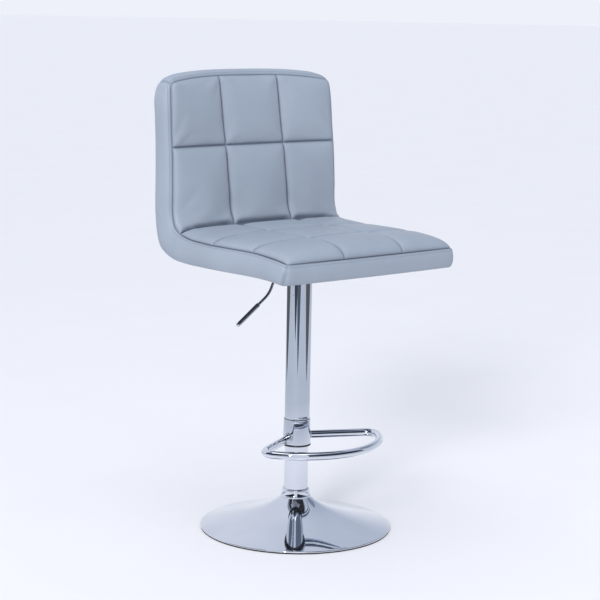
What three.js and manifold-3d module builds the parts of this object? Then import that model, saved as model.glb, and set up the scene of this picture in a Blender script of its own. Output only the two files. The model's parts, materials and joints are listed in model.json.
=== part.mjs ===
// Swivel gas-lift bar stool for a salon, on a round trumpet base, with a quilted seat and back.
// Millimetres, +Z up. The origin is on the floor under the column; the sitter faces -Y.
import * as THREE from 'three';
import { mergeVertices } from 'three/addons/utils/BufferGeometryUtils.js';
import Module from 'manifold-3d';

const wasm = await Module();
wasm.setup();

// ---- Driving dimensions ----
const GAP = 0.3; // clearance between neighbouring pieces

const BASE_RADIUS = 192.5;
const BASE_RIM_TOP = 5; // height of the shell's outer face at the rim
const BASE_SLOPE = 0.25; // slope of the shell far from the neck
const BASE_FLARE = 16.1; // extra rise of the neck over that slope
const BASE_FLARE_LENGTH = 28;
const BASE_FLARE_START = 35;
const BASE_NECK_RADIUS = 30;
const BASE_WALL = 2.2;
const FLOOR_RING_HEIGHT = 2.5;

const COLUMN_RADIUS = 24;
const COLUMN_WALL = 1.5;
const COLUMN_BOTTOM = 10;
const COLUMN_TOP = 480;

const SLEEVE_INNER = 24.4;
const SLEEVE_OUTER = 25.4;
const SLEEVE_BOTTOM = 226.5;

const COLLAR_BOTTOM = 174.8;
const COLLAR_TOP = 225.5;
const COLLAR_BOTTOM_RADIUS = 28.4;
const COLLAR_TOP_RADIUS = 26.8;
const BUSHING_BOTTOM = 171;

const HOOP_HEIGHT = 189;
const HOOP_TUBE_RADIUS = 8;
const HOOP_FRONT = 170; // reach of the hoop's centre line in front of the column
const HOOP_FRONT_RADIUS = 161;
const HOOP_BEND_RADIUS = 25;
const HOOP_BEND_X = 116;
const HOOP_BEND_Y = -80;

const CYLINDER_RADIUS = 14;
const CYLINDER_BORE = 12.5;
const CYLINDER_BOTTOM = 52;
const CYLINDER_TAPER_START = 484;
const CYLINDER_TOP = 522;
const ROD_RADIUS = 5;
const PISTON_TOP = 314;

const PAN_BOTTOM = 515;
const PAN_TOP = 543;
const PAN_WALL = 2.5;
const PAN_HALF_X = 52.5;
const PAN_HALF_Y = 45;
const FLANGE_HALF_X = 80;
const FLANGE_HALF_Y = 75;
const SCREW_X = 66;
const SCREW_Y = 60;

const LEVER_HEIGHT = 532.5;
const LEVER_RADIUS = 3;
const GRIP_RADIUS = 4.8;
const PIVOT_X = -38;
const LEVER_TIP = [-159, 429];
const LEVER_BEND = [-79, 486];
const GRIP_LENGTH = 66;

const SEAT_BOTTOM = 546;
const SEAT_FRONT = -203;
const SEAT_HALF_WIDTH = 221;
const CREASE_Y = 118; // plane where the seat cushion meets the back cushion
const CREASE_Z = 617;
const BACK_TOP = 914;
const BACK_REAR_TOP = 200;
const BACK_BOW = 12; // how far the middle of the back bows rearwards at its top
const BACK_CORNER_RADIUS = 38;
const BACK_HALF_WIDTH_TOP = 213;

const BOARD_BOTTOM = 551;
const BOARD_THICKNESS = 12;
const BOARD_HALF_WIDTH = 205;
const BOARD_FRONT = -188;
const BOARD_BEND_Y = 118;
const BOARD_BEND_RADIUS = 55; // outer face
const BOARD_BACK_TOP = 885;
const BOARD_LEAN = 16; // how far the board leans back over its straight height

// ---- Materials ----
function metal(colour, roughness) {
  return new THREE.MeshStandardMaterial({ color: colour, roughness, metalness: 1 });
}
function dull(colour, roughness) {
  return new THREE.MeshStandardMaterial({ color: colour, roughness, metalness: 0 });
}
const chrome = metal(0xd6dae2, 0.06);
const steel = metal(0x9a9da2, 0.35);
const castIron = metal(0x3a3b3d, 0.7);
const blackPlastic = dull(0x1b1c1f, 0.5);
const rubber = dull(0x161616, 0.85);
const plywood = dull(0xb98f5e, 0.7);
const leather = dull(0x93a0b2, 0.45);
const blackCloth = dull(0x15161a, 0.95);

// ---- Geometry helpers ----

// Keeps only positions, joins shared corners and points all faces outwards.
function closed(geometry) {
  const bare = new THREE.BufferGeometry();
  bare.setAttribute('position', geometry.getAttribute('position'));
  if (geometry.index) {
    bare.setIndex(geometry.index);
  }
  const merged = mergeVertices(bare, 1e-3);
  const source = merged.index.array;
  const faces = [];
  for (let i = 0; i < source.length; i += 3) {
    const [a, b, c] = [source[i], source[i + 1], source[i + 2]];
    if (a !== b && b !== c && c !== a) {
      faces.push(a, b, c);
    }
  }
  merged.setIndex(faces);
  if (volume(merged) < 0) {
    for (let i = 0; i < faces.length; i += 3) {
      [faces[i], faces[i + 1]] = [faces[i + 1], faces[i]];
    }
    merged.setIndex(faces);
  }
  return merged;
}

function volume(geometry) {
  const position = geometry.getAttribute('position');
  const index = geometry.index.array;
  const [a, b, c] = [new THREE.Vector3(), new THREE.Vector3(), new THREE.Vector3()];
  let sum = 0;
  for (let i = 0; i < index.length; i += 3) {
    a.fromBufferAttribute(position, index[i]);
    b.fromBufferAttribute(position, index[i + 1]);
    c.fromBufferAttribute(position, index[i + 2]);
    sum += a.dot(b.cross(c)) / 6;
  }
  return sum;
}

function toSolid(geometry) {
  return new wasm.Manifold(new wasm.Mesh({
    numProp: 3,
    vertProperties: new Float32Array(geometry.getAttribute('position').array),
    triVerts: new Uint32Array(geometry.index.array),
  }));
}

function toGeometry(solid) {
  const mesh = solid.getMesh();
  const geometry = new THREE.BufferGeometry();
  geometry.setAttribute('position', new THREE.BufferAttribute(mesh.vertProperties, 3));
  geometry.setIndex(new THREE.BufferAttribute(mesh.triVerts, 1));
  return geometry;
}

function cut(geometry, ...tools) {
  return toGeometry(tools.reduce((solid, tool) => solid.subtract(toSolid(tool)), toSolid(geometry)));
}

function join(geometry, ...others) {
  return toGeometry(others.reduce((solid, other) => solid.add(toSolid(other)), toSolid(geometry)));
}

function common(geometry, other) {
  return toGeometry(toSolid(geometry).intersect(toSolid(other)));
}

// Revolves [radius, height] points about the Z axis. The outline closes on itself.
function turned(outline, segments = 24) {
  const points = [...outline, outline[0]].map(([r, z]) => new THREE.Vector2(r, z));
  const geometry = new THREE.LatheGeometry(points, segments);
  geometry.rotateX(Math.PI / 2);
  return closed(geometry);
}

function ring(inner, outer, bottom, top, segments = 24) {
  return turned([[inner, bottom], [outer, bottom], [outer, top], [inner, top]], segments);
}

function disc(radius, bottom, top, segments = 24) {
  return turned([[0, bottom], [radius, bottom], [radius, top], [0, top]], segments);
}

function block(x0, x1, y0, y1, z0, z1) {
  const geometry = new THREE.BoxGeometry(x1 - x0, y1 - y0, z1 - z0);
  geometry.translate((x0 + x1) / 2, (y0 + y1) / 2, (z0 + z1) / 2);
  return closed(geometry);
}

// A round bar along the Y axis.
function crossBar(radius, halfLength, x, z, segments = 16) {
  const geometry = new THREE.CylinderGeometry(radius, radius, 2 * halfLength, segments);
  geometry.translate(x, 0, z);
  return closed(geometry);
}

// A round bar along a curve.
function bar(curve, radius, steps, sides = 12) {
  const section = new THREE.Shape();
  section.absarc(0, 0, radius, 0, 2 * Math.PI, false);
  const geometry = new THREE.ExtrudeGeometry(section, {
    extrudePath: curve,
    steps,
    curveSegments: sides / 2,
    bevelEnabled: false,
  });
  return closed(geometry);
}

// Extrudes a (y, z) outline along X between two planes, in a number of steps.
function acrossX(shape, halfWidth, steps = 1, bevel = 0) {
  const geometry = new THREE.ExtrudeGeometry(shape, {
    depth: 2 * (halfWidth - bevel),
    steps,
    curveSegments: 5,
    bevelEnabled: bevel > 0,
    bevelThickness: bevel,
    bevelSize: bevel,
    bevelOffset: -bevel,
    bevelSegments: 2,
  });
  geometry.translate(0, 0, bevel - halfWidth);
  // Extrusion runs along Z with the outline in XY: turn outline x to Y, y to Z and depth to X.
  geometry.applyMatrix4(new THREE.Matrix4().set(
    0, 0, 1, 0,
    1, 0, 0, 0,
    0, 1, 0, 0,
    0, 0, 0, 1,
  ));
  return closed(geometry);
}

// Extrudes an (x, z) outline along Y between two planes.
function alongY(shape, y0, y1) {
  const geometry = new THREE.ExtrudeGeometry(shape, {
    depth: y1 - y0,
    curveSegments: 6,
    bevelEnabled: false,
  });
  geometry.rotateX(Math.PI / 2);
  geometry.translate(0, y1, 0);
  return closed(geometry);
}

function outline(points) {
  return new THREE.Shape(points.map(([a, b]) => new THREE.Vector2(a, b)));
}

const stool = new THREE.Group();
function place(name, geometry, material, parent = stool) {
  const mesh = new THREE.Mesh(geometry, material);
  mesh.name = name;
  parent.add(mesh);
  return mesh;
}

// ---- Base ----

// Height of the base shell's outer face: a shallow cone with a trumpet flare at the neck.
function shellHeight(r) {
  const flare = BASE_FLARE * Math.exp((BASE_FLARE_START - r) / BASE_FLARE_LENGTH);
  return BASE_RIM_TOP + BASE_SLOPE * (BASE_RADIUS - r) + flare;
}

function makeBase() {
  const steps = 7;
  const outer = [];
  const inner = [];
  for (let i = 0; i <= steps; i++) {
    const r = BASE_NECK_RADIUS + (BASE_RADIUS - BASE_NECK_RADIUS) * (i / steps) ** 1.5;
    outer.push([r, shellHeight(r)]);
    inner.push([r, shellHeight(r) - BASE_WALL]);
  }
  place('base_shell', turned([...inner, ...outer.reverse()], 40), chrome);
  place('base_floor_ring', ring(172, BASE_RADIUS - 0.5, 0, FLOOR_RING_HEIGHT, 40), rubber);
  place('base_ballast_plate', ring(30, 150, 3, 9, 32), castIron);
  place('base_socket', turned([
    [COLUMN_RADIUS + GAP, 9.3],
    [60, 9.3],
    [60, 13.3],
    [29, 13.3],
    [29, 58],
    [COLUMN_RADIUS + GAP, 58],
  ], 32), steel);
  const skirt = 31.2;
  place('base_trim_ring', turned([
    [COLUMN_RADIUS + GAP, 79],
    [26.6, 78],
    [skirt - 1.2, shellHeight(skirt) + 1.7],
    [skirt, shellHeight(skirt) + 0.7],
    [30.1, shellHeight(skirt) + 4.5],
    [29.6, 78.5],
    [27, 81.5],
    [COLUMN_RADIUS + GAP, 81.5],
  ], 40), chrome);
}

// ---- Column with its foot, bearing and guide ----
function makeColumn() {
  const bore = COLUMN_RADIUS - COLUMN_WALL;
  place('column_tube', ring(bore, COLUMN_RADIUS, COLUMN_BOTTOM, COLUMN_TOP, 32), chrome);
  place('column_foot_plate', ring(5.6, bore - GAP, 20, 24, 32), steel);
  place('column_guide_bush', turned([
    [CYLINDER_RADIUS + GAP, 400],
    [bore - GAP, 400],
    [bore - GAP, COLUMN_TOP + GAP],
    [COLUMN_RADIUS, COLUMN_TOP + GAP],
    [COLUMN_RADIUS, COLUMN_TOP + 3],
    [CYLINDER_RADIUS + GAP, COLUMN_TOP + 3],
  ], 32), blackPlastic);

  place('bearing_lower_race', ring(6.5, 16, 24.3, 26.3), steel);
  place('bearing_upper_race', ring(6.5, 16, 30.9, 32.9), steel);
  const ballCount = 6;
  const balls = [];
  for (let i = 0; i < ballCount; i++) {
    const angle = (2 * Math.PI * i) / ballCount;
    const ball = new THREE.SphereGeometry(2, 8, 5);
    ball.translate(11.5 * Math.cos(angle), 11.5 * Math.sin(angle), 28.6);
    balls.push(closed(ball));
  }
  place('bearing_ball_cage', join(ring(7.5, 15, 27.8, 29.4), ...balls), steel);
}

// ---- Footrest ----
function collarRadius(z) {
  const share = (z - COLLAR_BOTTOM) / (COLLAR_TOP - COLLAR_BOTTOM);
  return COLLAR_BOTTOM_RADIUS + (COLLAR_TOP_RADIUS - COLLAR_BOTTOM_RADIUS) * share;
}

// Centre line of the hoop: straight arm, bend, front arc, bend, straight arm.
function hoopCurve() {
  const arcCentreY = HOOP_FRONT_RADIUS - HOOP_FRONT;
  const armStart = new THREE.Vector2(20, -2);
  const toBend = new THREE.Vector2(HOOP_BEND_X, HOOP_BEND_Y).sub(armStart);
  const armAngle = toBend.angle() + Math.asin(HOOP_BEND_RADIUS / toBend.length());
  const bendStart = armAngle + Math.PI / 2;
  const bendEnd = Math.atan2(HOOP_BEND_Y - arcCentreY, HOOP_BEND_X);
  const path = new THREE.Path();
  path.moveTo(armStart.x, armStart.y);
  path.lineTo(
    HOOP_BEND_X + HOOP_BEND_RADIUS * Math.cos(bendStart),
    HOOP_BEND_Y + HOOP_BEND_RADIUS * Math.sin(bendStart),
  );
  path.absarc(HOOP_BEND_X, HOOP_BEND_Y, HOOP_BEND_RADIUS, bendStart, bendEnd, true);
  path.absarc(0, arcCentreY, HOOP_FRONT_RADIUS, bendEnd, -Math.PI - bendEnd, true);
  path.absarc(-HOOP_BEND_X, HOOP_BEND_Y, HOOP_BEND_RADIUS, -Math.PI - bendEnd, Math.PI - bendStart, true);
  path.lineTo(-armStart.x, armStart.y);
  const points = path.getSpacedPoints(120).map((p) => new THREE.Vector3(p.x, p.y, HOOP_HEIGHT));
  return new THREE.CatmullRomCurve3(points);
}

function makeFootrest() {
  const screwHeight = 177.9;
  const screwRadius = 2.4;
  const lining = 25.4;
  const screwBore = new THREE.CylinderGeometry(screwRadius + GAP, screwRadius + GAP, 80, 16);
  screwBore.rotateZ(Math.PI / 2);
  screwBore.translate(0, 0, screwHeight);
  const bore = closed(screwBore);

  const bushing = turned([
    [COLUMN_RADIUS + GAP, BUSHING_BOTTOM],
    [COLLAR_BOTTOM_RADIUS, BUSHING_BOTTOM],
    [COLLAR_BOTTOM_RADIUS, COLLAR_BOTTOM - GAP],
    [lining, COLLAR_BOTTOM - GAP],
    [lining, COLLAR_TOP],
    [COLUMN_RADIUS + GAP, COLLAR_TOP],
  ], 32);
  place('footrest_bushing', cut(bushing, bore), blackPlastic);
  const collar = turned([
    [lining + GAP, COLLAR_BOTTOM],
    [COLLAR_BOTTOM_RADIUS, COLLAR_BOTTOM],
    [COLLAR_TOP_RADIUS, COLLAR_TOP],
    [lining + GAP, COLLAR_TOP],
  ], 32);
  place('footrest_collar', cut(collar, bore), chrome);
  for (const [side, name] of [[-1, 'right'], [1, 'left']]) {
    const screw = new THREE.CylinderGeometry(screwRadius, screwRadius, 5.6, 12);
    screw.rotateZ(Math.PI / 2);
    screw.translate(side * (COLUMN_RADIUS + GAP + 2.9), 0, screwHeight);
    place(`footrest_set_screw_${name}`, closed(screw), steel);
  }
  const clearance = disc(collarRadius(HOOP_HEIGHT - HOOP_TUBE_RADIUS) + GAP, 160, 220, 32);
  place('footrest_hoop', cut(bar(hoopCurve(), HOOP_TUBE_RADIUS, 54, 10), clearance), chrome);
}

// ---- Gas spring ----
function makeGasSpring() {
  place('rod_retaining_clip', ring(ROD_RADIUS + GAP, 9.5, 17, 19.7), steel);
  place('piston_rod', turned([
    [0, 14],
    [ROD_RADIUS, 14],
    [ROD_RADIUS, 33.2],
    [9, 33.2],
    [9, 37],
    [ROD_RADIUS, 37],
    [ROD_RADIUS, PISTON_TOP],
    [0, PISTON_TOP],
  ]), steel);
  place('bump_stop', ring(ROD_RADIUS + GAP, 12, 37.3, CYLINDER_BOTTOM - 0.4), rubber);
  place('piston_head', ring(ROD_RADIUS + GAP, CYLINDER_BORE - 0.4, PISTON_TOP - 18, PISTON_TOP - 2), steel);
  place('rod_guide_seal', ring(ROD_RADIUS + GAP, CYLINDER_BORE - GAP, 54, 72), blackPlastic);
  const buttonBore = 4.4;
  place('gas_cylinder', turned([
    [CYLINDER_BORE, CYLINDER_BOTTOM],
    [CYLINDER_RADIUS, CYLINDER_BOTTOM],
    [CYLINDER_RADIUS, CYLINDER_TAPER_START],
    [12, CYLINDER_TOP],
    [buttonBore, CYLINDER_TOP],
    [buttonBore, CYLINDER_TOP - 14],
    [0, CYLINDER_TOP - 14],
    [0, CYLINDER_TOP - 24],
    [CYLINDER_BORE, CYLINDER_TOP - 42],
  ]), steel);
  place('release_button', disc(buttonBore - GAP, 513.5, LEVER_HEIGHT - LEVER_RADIUS - GAP, 16), blackPlastic);
}

// ---- Sleeve and seat mechanism ----
function makeMechanism() {
  const hubOuter = 18;
  place('lift_sleeve', ring(SLEEVE_INNER, SLEEVE_OUTER, SLEEVE_BOTTOM, PAN_BOTTOM - GAP, 32), chrome);
  place('sleeve_top_cap', ring(hubOuter + GAP, SLEEVE_INNER - GAP, 503, PAN_BOTTOM - GAP, 32), blackPlastic);
  place('mechanism_hub', turned([
    [CYLINDER_RADIUS + GAP, CYLINDER_TAPER_START],
    [hubOuter, CYLINDER_TAPER_START],
    [hubOuter, CYLINDER_TOP - 1],
    [12.05 + GAP, CYLINDER_TOP - 1],
  ]), steel);

  let pan = join(
    block(-PAN_HALF_X, PAN_HALF_X, -PAN_HALF_Y, PAN_HALF_Y, PAN_BOTTOM, PAN_TOP + PAN_WALL),
    block(-FLANGE_HALF_X, FLANGE_HALF_X, -FLANGE_HALF_Y, FLANGE_HALF_Y, PAN_TOP, PAN_TOP + PAN_WALL),
  );
  const holes = corners().map(([x, y]) => {
    const hole = disc(3.4, PAN_TOP - 5, PAN_TOP + 10, 12);
    return hole.translate(x, y, 0);
  });
  pan = cut(
    pan,
    block(
      PAN_WALL - PAN_HALF_X,
      PAN_HALF_X - PAN_WALL,
      PAN_WALL - PAN_HALF_Y,
      PAN_HALF_Y - PAN_WALL,
      PAN_BOTTOM + PAN_WALL,
      PAN_TOP + 10,
    ),
    disc(hubOuter + GAP, PAN_BOTTOM - 5, PAN_BOTTOM + 10),
    block(-PAN_HALF_X - 5, 10 - PAN_HALF_X, -5, 5, LEVER_HEIGHT - 4, LEVER_HEIGHT + 5.5),
    ...holes,
  );
  place('mechanism_pan', pan, steel);

  const floor = PAN_BOTTOM + PAN_WALL + GAP;
  const bracket = cut(
    block(PIVOT_X - 8, PIVOT_X + 8, -10.5, 10.5, floor, 540),
    block(PIVOT_X - 10, PIVOT_X + 10, -8, 8, floor + 2, 545),
    crossBar(2.3, 20, PIVOT_X, LEVER_HEIGHT),
  );
  place('lever_bracket', bracket, steel);
  place('lever_pivot_pin', crossBar(2, 12, PIVOT_X, LEVER_HEIGHT), steel);

  corners().forEach(([x, y], i) => {
    const screw = turned([
      [0, PAN_TOP - 3.4],
      [5.5, PAN_TOP - 3.4],
      [5.5, PAN_TOP - GAP],
      [2.9, PAN_TOP - GAP],
      [2.9, BOARD_BOTTOM + BOARD_THICKNESS - 1],
      [0, BOARD_BOTTOM + BOARD_THICKNESS - 1],
    ], 12);
    const nut = turned([
      [3.3, BOARD_BOTTOM + 2],
      [4.5, BOARD_BOTTOM + 2],
      [4.5, BOARD_BOTTOM + BOARD_THICKNESS - 1.8],
      [9, BOARD_BOTTOM + BOARD_THICKNESS - 1.8],
      [9, BOARD_BOTTOM + BOARD_THICKNESS - GAP],
      [3.3, BOARD_BOTTOM + BOARD_THICKNESS - GAP],
    ], 12);
    place(`mechanism_screw_${i + 1}`, screw.translate(x, y, 0), steel);
    place(`tee_nut_${i + 1}`, nut.translate(x, y, 0), steel);
  });
}

function corners() {
  return [[-1, -1], [1, -1], [1, 1], [-1, 1]].map(([a, b]) => [a * SCREW_X, b * SCREW_Y]);
}

// ---- Lever ----
function bentLine(points, bendRadius) {
  const path = new THREE.CurvePath();
  const corner = points.map(([x, z]) => new THREE.Vector3(x, 0, z));
  let from = corner[0];
  for (let i = 1; i < corner.length - 1; i++) {
    const before = corner[i].clone().lerp(corner[i - 1], bendRadius / corner[i].distanceTo(corner[i - 1]));
    const after = corner[i].clone().lerp(corner[i + 1], bendRadius / corner[i].distanceTo(corner[i + 1]));
    path.add(new THREE.LineCurve3(from, before));
    path.add(new THREE.QuadraticBezierCurve3(before, corner[i], after));
    from = after;
  }
  path.add(new THREE.LineCurve3(from, corner[corner.length - 1]));
  return new THREE.CatmullRomCurve3(path.getSpacedPoints(60));
}

function makeLever() {
  const bend = new THREE.Vector2(...LEVER_BEND);
  const tip = new THREE.Vector2(...LEVER_TIP);
  const gripStart = tip.clone().lerp(bend, GRIP_LENGTH / tip.distanceTo(bend));
  const rodEnd = gripStart.clone().lerp(tip, 0.8);
  const rod = bar(bentLine([
    [3, LEVER_HEIGHT],
    [-57, LEVER_HEIGHT],
    LEVER_BEND,
    [rodEnd.x, rodEnd.y],
  ], 10), LEVER_RADIUS, 24, 8);
  const eye = crossBar(6, 7, PIVOT_X, LEVER_HEIGHT);
  place('lever_rod', cut(join(rod, eye), crossBar(2.3, 20, PIVOT_X, LEVER_HEIGHT)), chrome);

  // The grip is a bar with a blind bore over the end of the rod.
  const along = tip.clone().sub(gripStart);
  const grip = turned([
    [LEVER_RADIUS + GAP, 0],
    [GRIP_RADIUS - 0.6, 0],
    [GRIP_RADIUS, 1.5],
    [GRIP_RADIUS, along.length() - 2],
    [GRIP_RADIUS - 1.5, along.length()],
    [0, along.length()],
    [0, along.length() * 0.8 + 1],
    [LEVER_RADIUS + GAP, along.length() * 0.8 + 1],
  ], 16);
  const direction = new THREE.Vector3(along.x, 0, along.y).normalize();
  const turn = new THREE.Quaternion().setFromUnitVectors(new THREE.Vector3(0, 0, 1), direction);
  const mesh = place('lever_grip', grip, chrome);
  mesh.quaternion.copy(turn);
  mesh.position.set(gripStart.x, 0, gripStart.y);
}

// ---- Seat and back ----

// The back's middle bows rearwards, more towards its top.
function bowed(geometry) {
  const position = geometry.getAttribute('position');
  for (let i = 0; i < position.count; i++) {
    const share = Math.min(1, Math.max(0, (position.getZ(i) - CREASE_Z) / (BACK_TOP - CREASE_Z)));
    const across = 1 - Math.min(1, Math.abs(position.getX(i)) / SEAT_HALF_WIDTH) ** 2;
    position.setY(i, position.getY(i) + BACK_BOW * across * Math.sqrt(share));
  }
  return geometry;
}

// Adds a straight line in short steps, so that the surface above it can bow.
function steppedLine(shape, y1, z1) {
  const from = shape.currentPoint.clone();
  const steps = 4;
  for (let i = 1; i <= steps; i++) {
    shape.lineTo(from.x + ((y1 - from.x) * i) / steps, from.y + ((z1 - from.y) * i) / steps);
  }
}

// Bent board in section, grown on all sides by a clearance.
function boardShape(grow) {
  const lean = BOARD_LEAN;
  const outer = BOARD_BEND_RADIUS + grow;
  const inner = BOARD_BEND_RADIUS - BOARD_THICKNESS - grow;
  const centreZ = BOARD_BOTTOM + BOARD_BEND_RADIUS;
  const shape = new THREE.Shape();
  shape.moveTo(BOARD_FRONT - grow, BOARD_BOTTOM - grow);
  shape.lineTo(BOARD_BEND_Y, BOARD_BOTTOM - grow);
  shape.absarc(BOARD_BEND_Y, centreZ, outer, -Math.PI / 2, 0, false);
  steppedLine(shape, BOARD_BEND_Y + outer + lean, BOARD_BACK_TOP + grow);
  shape.lineTo(BOARD_BEND_Y + inner + lean, BOARD_BACK_TOP + grow);
  steppedLine(shape, BOARD_BEND_Y + inner, centreZ);
  shape.absarc(BOARD_BEND_Y, centreZ, inner, 0, -Math.PI / 2, true);
  shape.lineTo(BOARD_FRONT - grow, BOARD_BOTTOM + BOARD_THICKNESS + grow);
  return shape;
}

// Everything behind the board: where the rear cover is.
function behindShape(shift) {
  const outer = BOARD_BEND_RADIUS + shift;
  const centreZ = BOARD_BOTTOM + BOARD_BEND_RADIUS;
  const shape = new THREE.Shape();
  shape.moveTo(CREASE_Y - 1, SEAT_BOTTOM - 20);
  shape.lineTo(CREASE_Y - 1, BOARD_BOTTOM - shift);
  shape.lineTo(BOARD_BEND_Y, BOARD_BOTTOM - shift);
  shape.absarc(BOARD_BEND_Y, centreZ, outer, -Math.PI / 2, 0, false);
  steppedLine(shape, BOARD_BEND_Y + outer + BOARD_LEAN, BOARD_BACK_TOP);
  shape.lineTo(BOARD_BEND_Y + outer + BOARD_LEAN, BACK_TOP + 20);
  shape.lineTo(BOARD_BEND_Y + 200, BACK_TOP + 20);
  shape.lineTo(BOARD_BEND_Y + 200, SEAT_BOTTOM - 20);
  return shape;
}

function makeSeat() {
  const steps = 8;
  const boardTop = BOARD_BOTTOM + BOARD_THICKNESS;

  let board = bowed(acrossX(boardShape(0), BOARD_HALF_WIDTH, steps));
  const clearBoard = bowed(acrossX(boardShape(GAP), BOARD_HALF_WIDTH + GAP, steps));
  corners().forEach(([x, y]) => {
    const hole = disc(4.8, BOARD_BOTTOM - 5, boardTop + 5, 12).translate(x, y, 0);
    const recess = disc(9.4, boardTop - 2.1, boardTop + 5, 12).translate(x, y, 0);
    board = cut(board, hole, recess);
  });
  place('shell_board', board, plywood);

  const seat = new THREE.Shape();
  seat.moveTo(SEAT_FRONT, SEAT_BOTTOM - 5);
  seat.lineTo(-165, SEAT_BOTTOM);
  seat.lineTo(CREASE_Y - GAP, SEAT_BOTTOM);
  seat.lineTo(CREASE_Y - GAP, CREASE_Z);
  seat.quadraticCurveTo(0, 612, -100, 614);
  seat.bezierCurveTo(-165, 614, SEAT_FRONT, 600, SEAT_FRONT, 574);
  const pocket = block(
    -BOARD_HALF_WIDTH - GAP,
    BOARD_HALF_WIDTH + GAP,
    BOARD_FRONT - GAP,
    CREASE_Y + 10,
    SEAT_BOTTOM - 20,
    boardTop + GAP,
  );
  place('seat_cushion', cut(acrossX(seat, SEAT_HALF_WIDTH, 1, 10), pocket), leather);
  const screwHoles = corners().map(([x, y]) => disc(4, 540, 560, 12).translate(x, y, 0));
  const cover = block(-BOARD_HALF_WIDTH, BOARD_HALF_WIDTH, BOARD_FRONT, CREASE_Y - 2, 549, 550.7);
  place('underside_dust_cover', cut(cover, ...screwHoles), blackCloth);

  const back = new THREE.Shape();
  back.moveTo(CREASE_Y + GAP, SEAT_BOTTOM + 1);
  back.bezierCurveTo(160, SEAT_BOTTOM + 1, 183, 570, 185, 622);
  back.bezierCurveTo(187, 700, 190, 800, BACK_REAR_TOP, 872);
  back.bezierCurveTo(BACK_REAR_TOP + 1, 900, 194, BACK_TOP, 180, BACK_TOP);
  back.bezierCurveTo(160, BACK_TOP, 152, 905, 151, 890);
  back.quadraticCurveTo(146, 768, CREASE_Y + GAP, CREASE_Z);
  const body = bowed(acrossX(back, SEAT_HALF_WIDTH, steps, 10));
  const front = new THREE.Shape();
  const corner = BACK_CORNER_RADIUS;
  front.moveTo(-SEAT_HALF_WIDTH - 5, SEAT_BOTTOM - 20);
  front.lineTo(SEAT_HALF_WIDTH + 5, SEAT_BOTTOM - 20);
  front.lineTo(SEAT_HALF_WIDTH + 5, CREASE_Z);
  front.lineTo(SEAT_HALF_WIDTH, CREASE_Z);
  front.lineTo(BACK_HALF_WIDTH_TOP, BACK_TOP - corner);
  front.absarc(BACK_HALF_WIDTH_TOP - corner, BACK_TOP - corner, corner, 0, Math.PI / 2, false);
  front.lineTo(0, BACK_TOP + 2);
  front.absarc(corner - BACK_HALF_WIDTH_TOP, BACK_TOP - corner, corner, Math.PI / 2, Math.PI, false);
  front.lineTo(-SEAT_HALF_WIDTH, CREASE_Z);
  front.lineTo(-SEAT_HALF_WIDTH - 5, CREASE_Z);
  const rounded = common(body, alongY(front, 50, 260));
  const fromBoardMiddle = bowed(acrossX(behindShape(-5), SEAT_HALF_WIDTH + 10, steps));
  const fromBoardFace = bowed(acrossX(behindShape(4 * GAP), SEAT_HALF_WIDTH + 10, steps));
  place('back_cushion', cut(rounded, fromBoardMiddle, clearBoard), leather);
  place('back_rear_cover', common(rounded, fromBoardFace), leather);
}

makeBase();
makeColumn();
makeFootrest();
makeGasSpring();
makeMechanism();
makeLever();
makeSeat();

export default stool;
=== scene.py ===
"""Looks of a salon bar stool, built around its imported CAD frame.

Swivel gas-lift stool on a chrome trumpet base, with a hoop footrest and a quilted leatherette seat and back.
Metres, +Z up, the sitter faces -Y. The origin is on the floor under the column.
"""

import json
import math

import bmesh
import bpy
import numpy as np
from mathutils import Matrix, Vector


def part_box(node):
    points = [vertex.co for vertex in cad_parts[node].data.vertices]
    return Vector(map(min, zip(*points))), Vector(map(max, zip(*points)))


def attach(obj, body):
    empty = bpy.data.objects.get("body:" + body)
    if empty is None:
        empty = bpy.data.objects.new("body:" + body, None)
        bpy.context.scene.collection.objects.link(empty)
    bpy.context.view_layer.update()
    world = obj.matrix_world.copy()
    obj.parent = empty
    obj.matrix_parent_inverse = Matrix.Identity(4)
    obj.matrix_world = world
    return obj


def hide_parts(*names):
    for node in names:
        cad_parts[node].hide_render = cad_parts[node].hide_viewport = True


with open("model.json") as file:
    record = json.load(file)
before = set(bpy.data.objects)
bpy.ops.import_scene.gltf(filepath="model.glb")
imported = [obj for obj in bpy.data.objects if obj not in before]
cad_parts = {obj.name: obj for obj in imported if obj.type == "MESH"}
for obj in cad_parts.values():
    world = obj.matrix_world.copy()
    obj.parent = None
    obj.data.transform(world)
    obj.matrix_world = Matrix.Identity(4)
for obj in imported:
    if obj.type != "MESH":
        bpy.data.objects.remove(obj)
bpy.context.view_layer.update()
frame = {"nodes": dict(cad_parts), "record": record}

MM = 0.001


# ---- Sizes read from the frame ----
def low(node):
    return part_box(node)[0]


def high(node):
    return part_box(node)[1]


COLUMN_RADIUS = high("column_tube").x
COLUMN_BORE = COLUMN_RADIUS + 0.3 * MM  # bore of what sits round the column
SLEEVE_RADIUS = high("lift_sleeve").x
SLEEVE_BOTTOM = low("lift_sleeve").z
SLEEVE_TOP = high("lift_sleeve").z
COLLAR_BOTTOM = low("footrest_collar").z
COLLAR_TOP = high("footrest_collar").z
COLLAR_RADIUS = high("footrest_collar").x
COLLAR_TAPER = 1.6 * MM
BASE_RADIUS = high("base_shell").x
BASE_RIM_TOP = 5 * MM
FLOOR_RING_BORE = 172 * MM
NECK_RADIUS = 30 * MM
RING_TOP = high("base_trim_ring").z
HOOP_HEIGHT = (low("footrest_hoop").z + high("footrest_hoop").z) / 2
HOOP_TUBE = (high("footrest_hoop").z - low("footrest_hoop").z) / 2
HOOP_FRONT = -low("footrest_hoop").y - HOOP_TUBE

SEAT_FRONT = low("seat_cushion").y
CREASE_Z = high("seat_cushion").z
CREASE_Y = high("seat_cushion").y
BACK_TOP = high("back_rear_cover").z

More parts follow.
